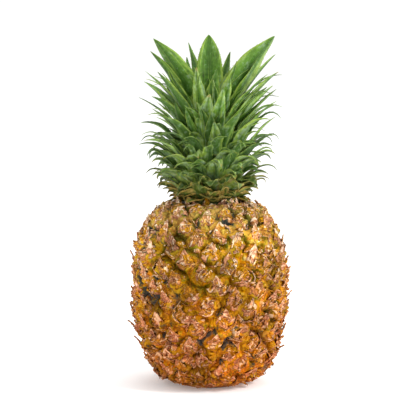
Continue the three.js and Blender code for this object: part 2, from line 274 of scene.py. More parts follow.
class Link:
    """A node's output. Maths on it adds the Math nodes that work it out."""

    def __init__(self, shader, socket):
        self.shader = shader
        self.socket = socket

    def maths(self, operation, first, second):
        return self.shader.node("ShaderNodeMath", {"operation": operation}, {0: first, 1: second})

    def __add__(self, other):
        return self.maths("ADD", self, other)

    def __sub__(self, other):
        return self.maths("SUBTRACT", self, other)

    def __rsub__(self, other):
        return self.maths("SUBTRACT", other, self)

    def __mul__(self, other):
        return self.maths("MULTIPLY", self, other)

    def __truediv__(self, other):
        return self.maths("DIVIDE", self, other)

    def __pow__(self, other):
        return self.maths("POWER", self, other)

    def __abs__(self):
        return self.maths("ABSOLUTE", self, 0.0)

    __radd__ = __add__
    __rmul__ = __mul__

    def at_most(self, high):
        return self.maths("MINIMUM", self, high)

    def between(self, low, high):
        """0 up to low, 1 from high on, and smooth between them."""
        settings = {"interpolation_type": "SMOOTHSTEP"}
        return self.shader.node("ShaderNodeMapRange", settings, {0: self, 1: low, 2: high})


class Shader:
    """A material's nodes, with one method that adds any of them."""

    def __init__(self, name):
        self.material = bpy.data.materials.new(name)
        self.material.use_nodes = True
        self.tree = self.material.node_tree
        self.tree.nodes.clear()

    def node(self, kind, settings=None, sockets=None, output=0):
        """Adds a node with its settings and the values or links of its sockets, and gives an output of it."""
        node = self.tree.nodes.new(kind)
        for name, value in (settings or {}).items():
            setattr(node, name, value)
        for key, value in (sockets or {}).items():
            if isinstance(value, Link):
                self.tree.links.new(value.socket, node.inputs[key])
            else:
                node.inputs[key].default_value = value
        return Link(self, node.outputs[output]) if node.outputs else None

    def values(self, *names):
        """The numbers that the mesh holds at each of its points under these names."""
        return [self.node("ShaderNodeAttribute", {"attribute_name": name}, output="Fac") for name in names]

    def place(self):
        """Where a point is on the object, in metres."""
        return self.node("ShaderNodeTexCoord", output="Object")

    def noise(self, size, place=None, detail=3.0, distortion=0.0):
        """Noise from 0 to 1 with spots of a size, in metres unless a place is given."""
        sockets = {"Vector": place or self.place(), "Scale": 1 / size}
        return self.node("ShaderNodeTexNoise", None, sockets | {"Detail": detail, "Distortion": distortion})

    def ridges(self, size, detail, distortion):
        """Curled lines: 0 along them, and more than 1 between them."""
        return abs(self.noise(size, detail=detail, distortion=distortion) - 0.5) * 7.0

    def vector(self, x, y, z):
        return self.node("ShaderNodeCombineXYZ", None, {0: x, 1: y, 2: z})

    def mix(self, factor, first, second, blend="MIX"):
        settings = {"data_type": "RGBA", "blend_type": blend, "clamp_factor": True}
        return self.node("ShaderNodeMix", settings, {0: factor, 6: first, 7: second}, output=2)

    def shade(self, base, factor):
        """A colour made darker or lighter by a factor."""
        grey = self.vector(factor, factor, factor)
        return self.node("ShaderNodeVectorMath", {"operation": "MULTIPLY"}, {0: base, 1: grey})

    def height(self):
        """How high a point is over the floor, in metres."""
        return self.node("ShaderNodeSeparateXYZ", None, {0: self.place()}, output=2)

    def tinted_and_shaded_by_height(self, base, low, high):
        """A colour with painted light, darkest at the foot and lighter up the fruit, and multiplied by a tint
        for its foot and one for its neck.
        """
        rise = (self.height() / TINT_AND_SHADE_HEIGHT).between(0.0, 1.0)
        tinted = self.mix(1.0, base, self.mix(rise, low, high), "MULTIPLY")
        return self.shade(tinted, FOOT_PAINTED_LIGHT + rise * PAINTED_LIGHT_GAIN)

    def bump(self, height, distance, strength):
        sockets = {"Height": height, "Distance": distance, "Strength": strength}
        return self.node("ShaderNodeBump", None, sockets)

    def finish(self, base, roughness, normal, fixed=None):
        """Ends the material in a Principled surface. What is the same all over it is in fixed."""
        sockets = {"Base Color": base, "Roughness": roughness, "Normal": normal}
        surface = self.node("ShaderNodeBsdfPrincipled", None, sockets | (fixed or {}))
        self.node("ShaderNodeOutputMaterial", None, {"Surface": surface})
        return self.material


# Meshes


def stacked(x, y, z):
    """Points from their three coordinates, each a number or an array."""
    return np.stack(np.broadcast_arrays(x, y, z), axis=-1)


def round_turns(sides):
    """The turns of points all round the axis, in radians, as a row."""
    return np.linspace(0, 2 * np.pi, sides, endpoint=False)[None, :]


def places_on(s, a):
    """What a sheet's points hold: how far along and how far across it they are."""
    return dict(along=s + 0 * a, across=a + 0 * s)


class Mesh:
    """Points, faces and some numbers at each point, gathered from many small grids into one piece."""

    def __init__(self):
        self.points = []
        self.faces = []
        self.values = {}
        self.count = 0

    def add(self, points, faces, **values):
        """Adds points in millimetres, faces that index them, and a value or an array for each name."""
        points = points.reshape(-1, 3)
        self.points.append(points)
        self.faces.extend((faces + self.count).tolist())
        for name, value in values.items():
            flat = np.broadcast_to(np.asarray(value, float).reshape(-1), len(points))
            self.values.setdefault(name, []).append(flat)
        self.count += len(points)

    def piece(self, name, material, slot, replaced=None):
        """Makes the object, smooth, with its material and body, and the node that it replaces if any. Its slot
        is not used.
        """
        mesh = bpy.data.meshes.new(name)
        mesh.from_pydata(np.concatenate(self.points) * MM, [], self.faces)
        for key, parts in self.values.items():
            attribute = mesh.attributes.new(key, "FLOAT", "POINT")
            attribute.data.foreach_set("value", np.concatenate(parts))
        mesh.polygons.foreach_set("use_smooth", np.ones(len(mesh.polygons), bool))
        mesh.materials.append(material)
        mesh.update()
        made = bpy.data.objects.new(name, mesh)
        bpy.context.scene.collection.objects.link(made)
        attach(made, BODY)
        if replaced:
            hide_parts(replaced)
        return made


def grid_faces(rows, columns, closed=False):
    """Quads between the points of a grid, its columns joined up in a ring if it is closed."""
    across = np.arange(columns if closed else columns - 1)
    row = np.arange(rows - 1)[:, None] * columns
    a = row + across
    b = row + (across + 1) % columns
    return np.stack([a, b, b + columns, a + columns], axis=-1).reshape(-1, 4)


def add_thickness(made, thickness):
    """Turns a sheet into a solid of a thickness in metres."""
    solid = made.modifiers.new("thickness", "SOLIDIFY")
    solid.thickness = thickness
    solid.offset = 0
    solid.use_even_offset = False


# The fruit's chart and its eyes


def neck_height():
    """How high the fruit ends, where its outline has the neck's radius."""
    share = (1 - (NECK_RADIUS / FRUIT_RADIUS) ** SIDE_POWER) ** (1 / UPPER_POWER)
    return FRUIT_MIDDLE + UPPER_REACH * share


def outline_radius(z):
    """The fruit's radius at a height, without its eyes."""
    lower = z < FRUIT_MIDDLE
    reach = np.where(lower, LOWER_REACH, UPPER_REACH)
    power = np.where(lower, LOWER_POWER, UPPER_POWER)
    share = np.abs(z - FRUIT_MIDDLE) / reach
    return FRUIT_RADIUS * (1 - share**power) ** (1 / SIDE_POWER)


class Chart:
    """The fruit's skin laid flat, turn against climb, so that shapes keep their angles."""

    def __init__(self):
        self.z = neck_height() * (1 - np.cos(np.pi * np.arange(CHART_STEPS + 1) / CHART_STEPS)) / 2
        self.r = outline_radius(self.z)
        run = np.hypot(np.diff(self.r), np.diff(self.z))
        self.climb = np.concatenate([[0], np.cumsum(run / ((self.r[1:] + self.r[:-1]) / 2))])
        self.full = self.climb[-1]
        slope_r = np.gradient(self.r)
        slope_z = np.gradient(self.z)
        self.out = slope_z / np.hypot(slope_r, slope_z)
        self.up = -slope_r / np.hypot(slope_r, slope_z)

    def height(self, climb):
        return np.interp(climb, self.climb, self.z)

    def radius(self, climb):
        return np.interp(climb, self.climb, self.r)

    def point(self, turn, climb, rise):
        """The point at a turn and climb, raised from the skin."""
        r = self.radius(climb) + np.interp(climb, self.climb, self.out) * rise
        z = self.height(climb) + np.interp(climb, self.climb, self.up) * rise
        return stacked(r * np.cos(turn), r * np.sin(turn), z)

    def eye_share(self, climb):
        """How much of its height an eye has here: none at the foot, and less at the neck."""
        z = self.height(climb)
        top = lerp(NECK_SHARE, 1, smoothstep((neck_height() - z) / NECK_FADE))
        return smoothstep(z / FOOT_FADE) * top

    def below_neck(self, climb):
        """0 at the neck and 1 where the fruit is at its fullest."""
        return smoothstep((neck_height() - self.height(climb)) / SHOULDER)


class Eye:
    """One eye's cell on the chart."""

    def __init__(self, n, corners):
        self.n = n
        self.corners = np.array(corners)
        self.x, self.y = self.corners.mean(axis=0)
        self.tall = np.ptp(self.corners[:, 1])
        self.wide = np.ptp(self.corners[:, 0])
        self.high = around(1, EYE_HEIGHT_CHANGE, chance(n, 1)) * min(1, self.tall / WHOLE_EYE)
        self.tone = chance(n, 5)
        ends = np.roll(self.corners, -1, axis=0) - self.corners
        self.normals = np.stack([ends[:, 1], -ends[:, 0]], axis=-1)
        self.reach = ((self.corners - (self.x, self.y)) * self.normals).sum(axis=1)

    def edge(self, x, y):
        """0 in the eye's middle and 1 on its border."""
        steps = [(nx * (x - self.x) + ny * (y - self.y)) / d for (nx, ny), d in zip(self.normals, self.reach)]
        return np.maximum.reduce(steps)


def clipped(polygon, a, b, c):
    """The part of a convex polygon where a*x + b*y <= c."""
    kept = []
    for i, p in enumerate(polygon):
        q = polygon[(i + 1) % len(polygon)]
        dp = a * p[0] + b * p[1] - c
        dq = a * q[0] + b * q[1] - c
        if dp <= 0:
            kept.append(p)
        if (dp < 0) != (dq < 0) and dp != 0 and dq != 0:
            t = dp / (dp - dq)
            kept.append((lerp(p[0], q[0], t), lerp(p[1], q[1], t)))
    return kept


def eye_centres(chart):
    """A golden turn for each eye, and a climb that leaves each the area it has at that radius."""
    centres = []
    climb = -MARGIN
    while climb < chart.full + MARGIN:
        centres.append((len(centres) * GOLDEN_ANGLE, climb))
        r = float(chart.radius(climb))
        climb += EYE_AREA * (r / FRUIT_RADIUS) ** EYE_AREA_POWER / (2 * math.pi * r * r)
    return centres


def eyes_of(chart):
    """Each eye's cell: what is nearer to it than to any other eye, cut at the foot and the neck."""
    centres = eye_centres(chart)
    eyes = []
    for n, (turn, climb) in enumerate(centres):
        cell = [(-1, climb - 1), (1, climb - 1), (1, climb + 1), (-1, climb + 1)]
        for m in range(max(0, n - NEAR_EYES), min(len(centres), n + NEAR_EYES + 1)):
            if m == n:
                continue
            dx = centres[m][0] - turn
            dx -= 2 * math.pi * round(dx / (2 * math.pi))
            dy = centres[m][1] - climb
            cell = clipped(cell, dx, dy, dx * dx / 2 + dy * (climb + dy / 2))
        cell = clipped(cell, 0, 1, chart.full)
        if cell:
            cell = clipped(cell, 0, -1, 0)
        if len(cell) > 2:
            eyes.append(Eye(n, [(x + turn, y) for x, y in cell]))
    return eyes


CHART = Chart()
EYES = eyes_of(CHART)

# Rind

RING_PLACES = (0.1, 0.22, 0.34, 0.46, 0.57, 0.67, 0.76, 0.84, 0.91, 1.0)
SPOKES_PER_SIDE = 6
FLANK = 0.5  # the share of an eye over which it rises from the valley
FLANK_POWER = 2.2
DOME_REACH = 0.85  # where the dome ends, from 0 in an eye's middle to 1 on its border
PIT_UP = 0.16  # how far above the middle the pit is, as a share of half the eye's height
PIT_SPREAD = 0.06
SWELL = 0.6  # how much higher an eye's lower half is
SWELL_REACH = 0.55

# Sizes of the noise that shapes the skin, in millimetres
WARP_SIZE = 7.0
LUMP_SIZE = 5.0
FOLD_SIZE = 3.2
WRINKLE_SIZE = 1.6
JOINED_SIZE = 10.0


def skin_rise(eye, x, y, dome, pit):
    """How far the smooth skin stands over the valleys, in millimetres."""
    e = np.clip(eye.edge(x, y), 0, 1)
    u = (x - eye.x) / (eye.wide / 2)
    v = (y - eye.y) / (eye.tall / 2)
    flank = 1 - np.clip(1 - (1 - e) / FLANK, 0, 1) ** FLANK_POWER
    top = np.clip(1 - (e / DOME_REACH) ** 2, 0, 1)
    hollow = np.exp(-(u**2 + (v - PIT_UP) ** 2) / PIT_SPREAD)
    swell = SWELL * smoothstep(-v / SWELL_REACH) * (1 - e * e)
    rise = BOSS_HEIGHT * flank + dome * top - pit * hollow + swell
    return rise * eye.high * CHART.eye_share(y)


def rind_mesh(settings):
    """Each eye's skin: rings from its middle to its border, lumped and folded by noise."""
    mesh = Mesh()
    dome = settings.dome / MM
    pit = settings.pit / MM
    spokes = np.arange(SPOKES_PER_SIDE)[None, :, None] / SPOKES_PER_SIDE
    rings = np.array((0.0,) + RING_PLACES)[:, None]
    for eye in EYES:
        ends = np.roll(eye.corners, -1, axis=0)
        border = lerp(eye.corners[:, None, :], ends[:, None, :], spokes).reshape(-1, 2)
        x = eye.x + (border[None, :, 0] - eye.x) * rings
        y = eye.y + (border[None, :, 1] - eye.y) * rings
        e = np.broadcast_to(rings, x.shape)
        place = CHART.point(x, y, BOSS_HEIGHT)
        warp = roughness_at(place, WARP_SIZE, 21.7)[..., None]
        lumps = np.abs(roughness_at(place + 2.0 * warp, LUMP_SIZE, 3.1)) * 2
        folds = folds_at(place + 1.5 * warp, FOLD_SIZE, 9.4)
        wrinkles = folds_at(place, WRINKLE_SIZE, 5.3)
        inside = smoothstep((1 - e) / 0.22)
        middle = smoothstep((0.95 - e) / 0.5)
        crumple = settings.crumple / MM * ((lumps - 0.45) + middle * (folds - 0.55))
        crumple = crumple + settings.wrinkle / MM * (wrinkles - 0.5)
        joined = smoothstep(roughness_at(place, JOINED_SIZE, 31.0) / 0.3 + 0.4) * e**3
        swelling = settings.joined / MM * joined + inside * crumple
        rise = skin_rise(eye, x, y, dome, pit) + swelling * CHART.eye_share(y)
        mesh.add(
            CHART.point(x, y, rise),
            grid_faces(len(rings), x.shape[1], closed=True),
            edge=e * (1 - 0.7 * joined),
            lump=lumps,
            fold=0.6 * folds + 0.4 * wrinkles,
            tone=eye.tone,
        )
    return mesh


def broad_and_dry_gap_shade(shader):
    """Two noises that the rind and the bracts share: broad lighter and darker tone, and patches that make dead
    bracts grey and that paint deep shade in some gaps between eyes.
    """
    return shader.noise(0.034, detail=2.0), shader.noise(0.03, detail=3.0, distortion=0.6)


def rind_material(settings):
    """Golden skin, pinkish in the eyes, greener in the valleys and up the fruit, with painted shade in its
    valleys, along its curls and in dark gaps between some eyes, and painted highlight on its curl crests.
    """
    shader = Shader("rind")
    edge, lump, fold, tone = shader.values("edge", "lump", "fold", "tone")
    patches = shader.noise(0.018, detail=4.0)
    spots = shader.noise(0.0045, detail=3.0, distortion=0.6)
    grain = shader.noise(0.0012, detail=3.0)
    curls = shader.ridges(0.012, 1.0, 1.2)
    fine_curls = shader.ridges(0.006, 1.0, 0.9)
    broad, dry_and_gap_shade = broad_and_dry_gap_shade(shader)
    own = tone - 0.5
    speckle = spots - 0.5
    height = shader.height()
    neck = height.between(0.105, 0.14)
    ripe = shader.mix((patches + own * 0.5).between(0.38, 0.66), settings.gold, settings.orange)
    ripe = shader.mix((lump + speckle * 1.2).between(0.3, 0.9) * 0.8, ripe, settings.yellow)
    centre = (1.0 - edge + speckle * 1.2 + own * 0.4).between(0.62, 0.85)
    skin = shader.mix(centre * (0.3 + fold * 0.7), ripe, settings.pink)
    skin = shader.mix(neck * 0.2, skin, settings.pale)
    unripe = (patches * 0.8 + spots * 0.4 + height * 1.7 + neck * 0.06 + own * 0.2).between(0.7, 0.8)
    green = shader.mix(height.between(0.09, 0.13), settings.green, settings.unripe)
    skin = shader.mix(unripe * (edge + speckle * 0.8).between(0.4, 0.8) * 0.85, skin, green)
    # Painted shade: dark lines in each crease of the crumpled skin and along the fine curls
    shaded_creases = (0.3 - curls * 0.6).between(0.0, 0.25) * (1.0 - edge * 0.5)
    skin = shader.mix(shaded_creases * 0.7, skin, settings.shade_brown)
    skin = shader.mix((0.24 - fine_curls).between(0.0, 0.2) * (0.45 + centre * 0.3), skin, settings.shade_brown)
    # Painted highlight: pale on the crests of the curls, mostly in the eyes' middles
    crests = (curls + fine_curls * 0.4).between(1.2, 1.9)
    skin = shader.mix(crests * (0.1 + centre * 0.4), skin, settings.pale)
    # Painted shade: the valleys between eyes get darker in colour and in light
    valley_shade = edge.between(0.55, 1.0)
    skin = shader.mix(valley_shade * (0.74 - patches * 0.7 + own * 0.3), skin, settings.shade_brown)
    # Brightness: random grain, broad patches and tone, with painted highlight on the fold crests and painted
    # shade in the valleys
    light = 0.89 + grain * 0.3 + fold * 0.1 + (broad - 0.5) * 3.0 + own * 0.2 - valley_shade * 0.3
    # Tints by height, with painted shade at the foot that gets lighter up the fruit
    skin = shader.tinted_and_shaded_by_height(shader.shade(skin, light), settings.low_tint, settings.high_tint)
    # Painted deep shade: dark grey-blue in some gaps between eyes, more near the neck and fewer at the foot
    dry_and_gap_shade = dry_and_gap_shade + neck * 0.08 - (0.05 - height).between(0.0, 0.04) * 0.08
    gaps = (dry_and_gap_shade + speckle * 0.3).between(0.54, 0.6) * (edge + speckle * 0.5).between(0.5, 0.75)
    skin = shader.mix(gaps * 0.85, skin, settings.gap_shade)
    relief = curls.between(0.0, 1.2) + fine_curls.between(0.0, 1.2) * 0.5 + grain * 0.2
    rough = 0.4 + centre * 0.25 + (grain - 0.5) * 0.2
    return shader.finish(skin, rough, shader.bump(relief, 0.0014, 0.9), {"Specular IOR Level": 0.08})


class PINEAPPLE_OT_rind(bpy.types.Operator):
    """Makes the skin with its raised eyes"""

    bl_idname = "pineapple.rind"
    bl_label = "Rind"

    def execute(self, context):
        settings = context.scene.pineapple_rind
        rind_mesh(settings).piece("rind", rind_material(settings), "rind", "fruit")
        return {"FINISHED"}


# Leaf blades


def steep_way(degrees):
    """The way outwards and up at an angle over the ground."""
    return np.array([math.cos(math.radians(degrees)), 0, math.sin(math.radians(degrees))])


def turned(points, angles):
    """Points turned about the crown's axis by an angle each, in radians."""
    x = points[..., 0] * np.cos(angles) - points[..., 1] * np.sin(angles)
    y = points[..., 0] * np.sin(angles) + points[..., 1] * np.cos(angles)
    return stacked(x, y, points[..., 2])


class Blade:
    """A leaf's middle line and, at each place along it, the ways across it and out of its face."""

    def __init__(self, leaf, s):
        root = np.array([leaf["r"], 0, leaf["z"]])
        tip = np.array([leaf["tip_r"], 0, leaf["tip_z"]])
        pull = LEAF_PULL * np.linalg.norm(tip - root)
        handles = root, root + pull * steep_way(leaf["steep"]), tip - pull * steep_way(leaf["tip_steep"]), tip
        s = s[:, None]
        weights = ((1 - s) ** 3, 3 * s * (1 - s) ** 2, 3 * s**2 * (1 - s), s**3)
        self.middle = sum(w * h for w, h in zip(weights, handles))
        slopes = ((1 - s) ** 2, 2 * s * (1 - s), s**2)
        way = sum(w * (b - a) for w, a, b in zip(slopes, handles, handles[1:]))
        self.way = way / np.linalg.norm(way, axis=1)[:, None]
        sideways = np.array([0.0, 1.0, 0.0])
        face = np.cross(self.way, sideways)
        roll = np.radians(leaf["roll"]) * smoothstep(s / ROLL_PLACE)
        self.across = sideways * np.cos(roll) + face * np.sin(roll)
        self.face = face * np.cos(roll) - sideways * np.sin(roll)
        self.swing = np.radians(leaf["turn"] + leaf["turn_end"] * s[:, 0] ** 2)

    def sheet(self, x, rise):
        """Points at x to the side of the middle line, raised out of the blade's face."""
        flat = self.middle[:, None, :] + self.across[:, None, :] * x[..., None]
        return turned(flat + self.face[:, None, :] * rise[..., None], self.swing[:, None])


# Bracts and dry flowers

BRACT_ROWS = 15
BRACT_COLUMNS = 7
NECK_BRACTS = 30
NECK_BRACT_KEY = 500  # where the draws of the bracts round the neck start
PETAL_ROWS = 5
PETAL_COLUMNS = 7
# Each ring of petals on an eye: how many, how far out, how long, and how far they rise
PETAL_RINGS = ((3, 0.92, 0.40, 0.2), (3, 0.68, 0.36, 0.9), (2, 0.42, 0.30, 1.5))
LEAST_SHARE = 0.3  # an eye with less than this share of its height gets no bract and no petals
NOISE_RISE = 4.0  # how far over the skin the noise that crumples bracts and petals is taken


def bract_mesh(settings, rind):
    """A torn and crumpled bract on each eye, which lies on it at its base and is free at its tip."""
    mesh = Mesh()
    s = np.linspace(0, 1, BRACT_ROWS)[:, None]
    a = np.linspace(-1, 1, BRACT_COLUMNS)[None, :]
    faces = grid_faces(BRACT_ROWS, BRACT_COLUMNS)
    for eye in EYES:
        n = eye.n
        share = eye.high * CHART.eye_share(eye.y)
        if share < LEAST_SHARE:
            continue
        sway = around(0, BRACT_SWAY, chance(n, 3)) * eye.tall
        long = BRACT_LEAN + around(0.26, 0.12, chance(n, 6))
        y = eye.y + eye.tall * (-0.26 + long * s) + 0 * a
        taper = 0.86 * (1 - s) ** 1.05 * (1 + 0.7 * s) + 0.14 * (1 - s) ** 0.5
        torn = roughness_at(stacked(s * 9 + n, (-3.1, 3.1), 0.5), 1.0, 0.0)
        ragged = 1 + 0.6 * np.where(a < 0, torn[:, :1], torn[:, 1:]) * np.abs(a)
        half = eye.wide / 2 * 0.6 * taper * ragged
        x = eye.x + sway * s**2 + a * half
        skin = skin_rise(eye, x, y, rind.dome / MM, rind.pit / MM) + 0.35
        tip = (BOSS_HEIGHT + BRACT_TIP_RISE * around(1, BRACT_CHANGE, chance(n, 2))) * share
        tip += settings.reach / MM * around(0.6, 0.8, chance(n, 7))
        tip *= lerp(0.5, 1, CHART.below_neck(eye.y))
        free = smoothstep((s - 0.25) / 0.5)
        target = lerp(4.4 * share, tip, s**1.6)
        rise = skin * (1 - free) + target * free
        place = CHART.point(x, y, NOISE_RISE)
        crumple = roughness_at(place, 2.6, n * 0.37) + 0.5 * roughness_at(place, 1.3, n * 0.91)
        crumple = crumple * smoothstep(s / 0.25) * (0.5 + 0.5 * np.abs(a)) * smoothstep((1.1 - s) / 0.5)
        pleats = 0.35 * np.cos(3 * np.pi * a + 4 * chance(n, 8))
        pleats = pleats * smoothstep(s / 0.2) * smoothstep((0.95 - s) / 0.3)
        channel = (1.3 * s * a**2 - 0.4 * (1 - s) * a**2) * share
        curl = around(0.2, 1.2, chance(n, 9)) * smoothstep((s - 0.7) / 0.3) ** 2
        rise = rise + settings.crumple / MM * crumple * share + pleats * share + channel + curl * share
        mesh.add(CHART.point(x, y, rise), faces, tone=chance(n, 10), eye=eye.tone, **places_on(s, a))
    add_neck_bracts(mesh)
    return mesh


def add_neck_bracts(mesh):
    """Narrow pointed bracts that stand up round the crown's foot."""
    s = np.linspace(0, 1, BRACT_ROWS)
    a = np.linspace(-1, 1, BRACT_COLUMNS)[None, :]
    for i in range(NECK_BRACTS):
        draw = [chance(NECK_BRACT_KEY + i, k) for k in range(8)]
        outer = i % 2
        leaf = dict(
            turn=360 * i / NECK_BRACTS + around(0, 6, draw[0]),
            turn_end=around(0, 8, draw[1]),
            r=24 + 3 * outer,
            z=neck_height() - 1.5 - 1.5 * outer,
            tip_r=around(26, 2.5, draw[2]) + 2 * outer,
            tip_z=neck_height() + around(5, 3, draw[3]) - outer,
            steep=70,
            tip_steep=around(70, 40, draw[4]),
            roll=around(0, 30, draw[5]),
        )
        blade = Blade(leaf, s)
        half = around(3.4, 0.9, draw[6]) * (1 - s[:, None] ** 1.6) ** 0.8 + 0.1
        crumple = 0.9 * roughness_at(blade.middle[:, None, :] + a[..., None] * 3 + 9 * i, 2.2, 4.4)
        sheet = blade.sheet(a * half, 0.4 * a**2 * half + crumple * s[:, None])
        faces = grid_faces(BRACT_ROWS, BRACT_COLUMNS)
        mesh.add(sheet, faces, tone=draw[7], eye=0.5, **places_on(s[:, None], a))


def petals_mesh(settings, rind):
    """Rings of curled dry petals on each eye that bend round its middle and open towards it."""
    mesh = Mesh()
    s = np.linspace(0, 1, PETAL_ROWS)[:, None]
    a = np.linspace(-1, 1, PETAL_COLUMNS)[None, :]
    faces = grid_faces(PETAL_ROWS, PETAL_COLUMNS)
    for eye in EYES:
        n = eye.n
        share = eye.high * CHART.eye_share(eye.y)
        if share < LEAST_SHARE:
            continue
        size = min(eye.wide, eye.tall) / 2
        bare = around(0.22, 0.35, chance(n, 11))
        tall = lerp(0.4, 1, CHART.below_neck(eye.y))
        for ring, (count, out, long, lift) in enumerate(PETAL_RINGS):
            for petal in range(count):
                k = 40 + 50 * ring + 10 * petal
                draw = [chance(n, k + step) for step in range(11)]
                if draw[10] < bare:
                    continue
                way = 2 * math.pi * (petal + 0.5 * ring) / count + around(n * 2.4, 0.8, draw[0])
                far = size * (around(out, 0.10, draw[1]) - around(long, 0.12, draw[2]) * s)
                spread = around(0.78, 0.36, draw[3]) * (1 - s**3 * 0.9) ** 0.5 * (1 + 0.25 * s)
                ragged = roughness_at(stacked(s * 3, a * 3, k), 1.0, n * 1.3)
                far = far + size * 0.16 * ragged * s
                angle = way + spread * a + around(0, 0.6, draw[4]) * s**2
                x = eye.x + around(0, 0.3, draw[5]) * size + far * np.cos(angle)
                y = eye.y + around(0.04, 0.3, draw[6]) * size + far * np.sin(angle)
                skin = skin_rise(eye, x, y, rind.dome / MM, rind.pit / MM)
                place = CHART.point(x, y, NOISE_RISE)
                crumple = roughness_at(place, 3.0, n * 0.61 + k)
                crumple = crumple + 0.4 * roughness_at(place, 1.5, n * 0.3 + k)
                crumple = 1.5 * settings.crumple / MM * crumple * smoothstep(s / 0.3)
                stand = around(1.2, 1.1, draw[7]) * s**0.8 + around(0.2, 1.2, draw[8]) * s * a**2
                rise = skin + ((lift * s + stand) * tall + crumple - 0.3 * (1 - s)) * share
                sheet = CHART.point(x, y, rise)
                mesh.add(sheet, faces, tone=draw[9], eye=eye.tone, **places_on(s, a))
    return mesh


def paper_material(name, first, second, settings):
    """Dry plant skin, crumpled and streaked, between two colours from one bract or petal to the next, with
    painted highlight on its curls, painted shade in its crease lines and at its base, and painted light by
    height.
    """
    shader = Shader(name)
    along_it, across, tone, eye = shader.values("along", "across", "tone", "eye")
    streaks = shader.noise(1.0, shader.vector(across * 3.0, along_it * 1.4, tone * 60.0), detail=3.0)
    spots = shader.noise(0.0045, detail=2.0, distortion=0.8)
    wide = shader.noise(0.014, detail=2.0)
    grain = shader.noise(0.0014, detail=3.0)
    curls = shader.ridges(0.009, 0.8, 2.2)
    broad, dry_and_gap_shade = broad_and_dry_gap_shade(shader)
    own = tone - 0.5
    speckle = spots - 0.5
    body = shader.mix((tone * 0.5 + eye * 0.6 + (wide - 0.5) * 2.0).between(0.3, 0.6), first, second)
    mauve = (wide * 0.6 + (1.0 - tone) * 0.3 + speckle * 0.5).between(0.5, 0.62)
    body = shader.mix(mauve * 0.5, body, settings.mauve)
    # Painted highlight: pale on the crests of the curls
    body = shader.mix((curls + spots * 0.6).between(1.0, 1.9) * 0.9, body, settings.paper_and_highlight)
    rim = (abs(across) ** 3.0 * 0.25 + along_it * 0.6 + speckle * 1.6 + own * 0.6).between(0.6, 1.0)
    body = shader.mix(rim * 0.7, body, settings.paper_and_highlight)
    grey = (tone * 0.5 + (dry_and_gap_shade - 0.5) * 2.2 + speckle * 0.5).between(0.72, 0.84)
    body = shader.mix(grey * 0.6, body, settings.dry)
    body = shader.mix((0.36 - curls).between(0.0, 0.3) * 0.65, body, settings.shadow)
    body = shader.mix((0.32 - along_it).between(0.0, 0.32) * 0.6, body, settings.shadow)
    light = 0.74 + streaks * 0.5 + grain * 0.3 + own * 0.3 + (broad - 0.5) * 2.9 + (eye - 0.5) * 0.3
    # Tints by height, with painted shade at the foot that gets lighter up the fruit
    body = shader.tinted_and_shaded_by_height(shader.shade(body, light.at_most(1.22)), settings.low_tint, settings.high_tint)
    normal = shader.bump(curls.between(0.0, 1.2) + streaks * 0.3 + grain * 0.2, 0.0014, 0.9)
    return shader.finish(body, 0.4 + spots * 0.3, normal, {"Specular IOR Level": 0.12})


class PINEAPPLE_OT_bracts(bpy.types.Operator):
    """Makes the papery bract on each eye"""

    bl_idname = "pineapple.bracts"
    bl_label = "Bracts"

    def execute(self, context):
        settings = context.scene.pineapple_bract
        material = paper_material("bract", settings.flesh, settings.tan, settings)
        made = bract_mesh(settings, context.scene.pineapple_rind).piece("bracts", material, "rind")
        add_thickness(made, settings.thickness)
        return {"FINISHED"}


class PINEAPPLE_OT_dry_flowers(bpy.types.Operator):
    """Makes the folded remains of the flower in each eye"""

    bl_idname = "pineapple.dry_flowers"
    bl_label = "Dry flowers"

    def execute(self, context):
        settings = context.scene.pineapple_bract
        material = paper_material("dry_flower", settings.tan, settings.flesh, settings)
        made = petals_mesh(settings, context.scene.pineapple_rind).piece("dry_flowers", material, "rind")
        add_thickness(made, settings.thickness)
        return {"FINISHED"}


# Crown

EDGE = 0.08  # half a leaf's thickness at its edges
TOOTH_STEP = 3.2  # how far one tooth is from the next, at least
SMALL_LEAVES = 210
WISPS = 60
WISP_REACH = 56
FOOT_LEAVES = 26
# Where the draws of each kind of leaf start, and the key that sets each leaf's tone
SMALL_LEAF_KEY = 200
WISP_KEY = 600
FOOT_LEAF_KEY = 700
LEAF_TONE_KEY = 198
STEM_SIDES = 48
STEM_ROWS = 12


def rule_leaf(i):
    """A leaf of the crown, from the lowest, 0, to the innermost, as the part's source sets it."""
    t = i / (LEAVES - 1)
    stem = neck_height() + GAP
    r = along([(0, 19.5), (0.4, 15), (1, 4)], t)
    z = stem + along([(0, 1.6), (0.35, 14), (0.7, 35), (1, 54)], t)
    reach = along([(0, 17), (0.15, 28), (0.4, 38), (0.7, 42), (0.88, 30), (1, 8)], t)
    climb = along([(0, 6.5), (0.15, 15), (0.4, 37), (0.7, 62), (0.88, 60), (1, 42)], t)
    droop = along([(0, -42), (0.2, -38), (0.45, -4), (0.6, 26), (0.7, 48), (1, 80)], t)
    width = along([(0, 14), (0.3, 16), (0.7, 18), (1, 15)], t)
    return dict(
        turn=(math.degrees(i * GOLDEN_ANGLE) + around(0, 7, chance(i, 12))) % 360,
        turn_end=around(0, 13, chance(i, 13)),
        r=r,
        z=z,
        tip_r=r + reach * around(1, 0.12, chance(i, 11)),
        tip_z=z + climb * around(0.98, 0.1, chance(i, 14)),
        steep=along([(0, 38), (0.15, 52), (0.4, 64), (0.7, 76), (1, 87)], t),
        tip_steep=droop + around(0, 12, chance(i, 15)),
        width=width * around(0.99, 0.09, chance(i, 16)),
        roll=around(0, 24, chance(i, 17)),
        full=along([(0, 1.7), (0.4, 1.5), (0.75, 1.9), (1, 2.4)], t),
        age=t,
    )


